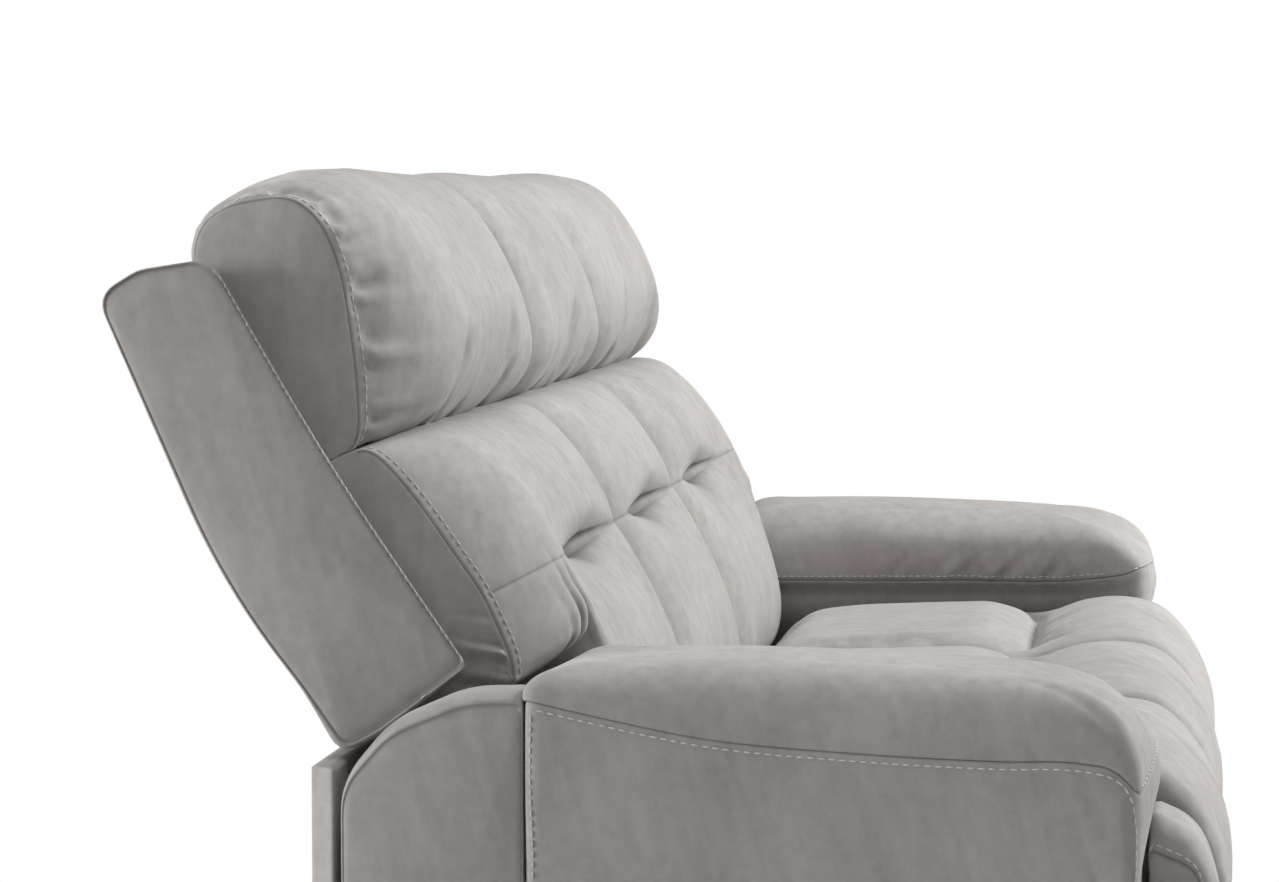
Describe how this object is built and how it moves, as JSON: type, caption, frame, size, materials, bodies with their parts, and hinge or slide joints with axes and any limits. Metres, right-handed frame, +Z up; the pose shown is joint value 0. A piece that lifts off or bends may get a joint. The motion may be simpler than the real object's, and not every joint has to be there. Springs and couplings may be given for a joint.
{
  "type": "reclining sofa",
  "caption": "Three-seat reclining sofa with padded head rolls, tufted lumbar pads and pillow-top arms; the end seats slide, recline and lift a footrest on side linkages.",
  "frame": {"origin": "middle of the whole box, on the floor", "axes": "+X across towards the sitter's left, front towards -Y, +Z up"},
  "size_m": [2.0386, 1.0654, 1.0685],
  "materials": {
    "upholstery": "brushed suede-like cover with a soft streaky nap",
    "frame_wood": "bare plywood and softwood",
    "mechanism_steel": "black painted pressed steel",
    "webbing": "woven elastic webbing",
    "black_plastic": "fine matt moulded"
  },
  "bodies": {
    "base": {"base_rails": "frame_wood", "base_runners": "frame_wood", "base_feet": "black_plastic", "rear_panel": "upholstery", "slide_tracks": "mechanism_steel", "mid_seat_frame": "frame_wood", "mid_seat_webbing": "webbing", "mid_seat_cushion": "upholstery", "mid_front_board": "frame_wood", "mid_front_pad": "upholstery", "mid_back_shell": "upholstery", "mid_back_frame": "frame_wood", "mid_lumbar": "upholstery", "mid_headrest": "upholstery", "left_arm_frame": "frame_wood", "left_arm_side": "upholstery", "left_arm_top": "upholstery", "left_arm_quarter": "upholstery", "left_handle_cup": "black_plastic", "right_arm_frame": "frame_wood", "right_arm_side": "upholstery", "right_arm_top": "upholstery", "right_arm_quarter": "upholstery", "right_handle_cup": "black_plastic"},
    "left_handle": {"left_handle_lever": "black_plastic"},
    "left_seat": {"left_seat_frame": "frame_wood", "left_seat_webbing": "webbing", "left_seat_cushion": "upholstery", "left_seat_ear": "upholstery", "left_seat_plates": "mechanism_steel"},
    "left_back": {"left_back_shell": "upholstery", "left_back_frame": "frame_wood", "left_back_brackets": "mechanism_steel", "left_lumbar": "upholstery", "left_headrest": "upholstery"},
    "left_front_link": {"left_front_links": "mechanism_steel"},
    "left_rear_link": {"left_rear_links": "mechanism_steel"},
    "left_coupler": {"left_coupler_links": "mechanism_steel"},
    "left_drive_link": {"left_drive_links": "mechanism_steel"},
    "left_footrest": {"left_footrest_brackets": "mechanism_steel", "left_footrest_board": "frame_wood", "left_footrest_pad": "upholstery"},
    "right_handle": {"right_handle_lever": "black_plastic"},
    "right_seat": {"right_seat_frame": "frame_wood", "right_seat_webbing": "webbing", "right_seat_cushion": "upholstery", "right_seat_ear": "upholstery", "right_seat_plates": "mechanism_steel"},
    "right_back": {"right_back_shell": "upholstery", "right_back_frame": "frame_wood", "right_back_brackets": "mechanism_steel", "right_lumbar": "upholstery", "right_headrest": "upholstery"},
    "right_front_link": {"right_front_links": "mechanism_steel"},
    "right_rear_link": {"right_rear_links": "mechanism_steel"},
    "right_coupler": {"right_coupler_links": "mechanism_steel"},
    "right_drive_link": {"right_drive_links": "mechanism_steel"},
    "right_footrest": {"right_footrest_brackets": "mechanism_steel", "right_footrest_board": "frame_wood", "right_footrest_pad": "upholstery"}
  },
  "joints": [
    {"name": "left_seat_slide", "type": "slide", "parent": "base", "child": "left_seat", "axis": [0, -1, 0], "range_m": [0, 0.09]},
    {"name": "left_recline", "type": "hinge", "parent": "left_seat", "child": "left_back", "pos_m": [0.51, 0.20679, 0.445], "axis": [-1, 0, 0], "range_deg": [0, 22]},
    {"name": "left_footrest_lift", "type": "hinge", "parent": "left_seat", "child": "left_front_link", "pos_m": [0.51, -0.38321, 0.31], "axis": [-1, 0, 0], "range_deg": [0, 88]},
    {"name": "left_rear_link_turn", "type": "hinge", "parent": "left_seat", "child": "left_rear_link", "pos_m": [0.51, -0.34251, 0.28456], "axis": [-1, 0, 0], "range_deg": [0, 88]},
    {"name": "left_coupler_turn", "type": "hinge", "parent": "left_front_link", "child": "left_coupler", "pos_m": [0.51, -0.33706, 0.09285], "axis": [-1, 0, 0], "range_deg": [-88, 0]},
    {"name": "left_drive_link_turn", "type": "hinge", "parent": "left_front_link", "child": "left_drive_link", "pos_m": [0.51, -0.34849, 0.14665], "axis": [-1, 0, 0], "range_deg": [-88, 0]},
    {"name": "left_footrest_turn", "type": "hinge", "parent": "left_coupler", "child": "left_footrest", "pos_m": [0.51, -0.42229, 0.21016], "axis": [-1, 0, 0], "range_deg": [0, 88]},
    {"name": "left_release", "type": "hinge", "parent": "base", "child": "left_handle", "pos_m": [1.002, -0.34721, 0.362], "axis": [0, 0, -1], "range_deg": [0, 28], "stiffness_Nm_per_rad": 0.5},
    {"name": "right_seat_slide", "type": "slide", "parent": "base", "child": "right_seat", "axis": [0, -1, 0], "range_m": [0, 0.09]},
    {"name": "right_recline", "type": "hinge", "parent": "right_seat", "child": "right_back", "pos_m": [-0.51, 0.20679, 0.445], "axis": [-1, 0, 0], "range_deg": [0, 22]},
    {"name": "right_footrest_lift", "type": "hinge", "parent": "right_seat", "child": "right_front_link", "pos_m": [-0.51, -0.38321, 0.31], "axis": [-1, 0, 0], "range_deg": [0, 88]},
    {"name": "right_rear_link_turn", "type": "hinge", "parent": "right_seat", "child": "right_rear_link", "pos_m": [-0.51, -0.34251, 0.28456], "axis": [-1, 0, 0], "range_deg": [0, 88]},
    {"name": "right_coupler_turn", "type": "hinge", "parent": "right_front_link", "child": "right_coupler", "pos_m": [-0.51, -0.33706, 0.09285], "axis": [-1, 0, 0], "range_deg": [-88, 0]},
    {"name": "right_drive_link_turn", "type": "hinge", "parent": "right_front_link", "child": "right_drive_link", "pos_m": [-0.51, -0.34849, 0.14665], "axis": [-1, 0, 0], "range_deg": [-88, 0]},
    {"name": "right_footrest_turn", "type": "hinge", "parent": "right_coupler", "child": "right_footrest", "pos_m": [-0.51, -0.42229, 0.21016], "axis": [-1, 0, 0], "range_deg": [0, 88]},
    {"name": "right_release", "type": "hinge", "parent": "base", "child": "right_handle", "pos_m": [-1.002, -0.34721, 0.362], "axis": [0, 0, 1], "range_deg": [0, 28], "stiffness_Nm_per_rad": 0.5}
  ],
  "couplings": [
    {"joint": "left_recline", "follows": "left_seat_slide", "rad_per_m": 4.2663},
    {"joint": "left_rear_link_turn", "follows": "left_footrest_lift", "ratio": 1},
    {"joint": "left_coupler_turn", "follows": "left_footrest_lift", "ratio": -1},
    {"joint": "left_drive_link_turn", "follows": "left_footrest_lift", "ratio": -1},
    {"joint": "left_footrest_turn", "follows": "left_footrest_lift", "ratio": 1},
    {"joint": "right_recline", "follows": "right_seat_slide", "rad_per_m": 4.2663},
    {"joint": "right_rear_link_turn", "follows": "right_footrest_lift", "ratio": 1},
    {"joint": "right_coupler_turn", "follows": "right_footrest_lift", "ratio": -1},
    {"joint": "right_drive_link_turn", "follows": "right_footrest_lift", "ratio": -1},
    {"joint": "right_footrest_turn", "follows": "right_footrest_lift", "ratio": 1}
  ]
}
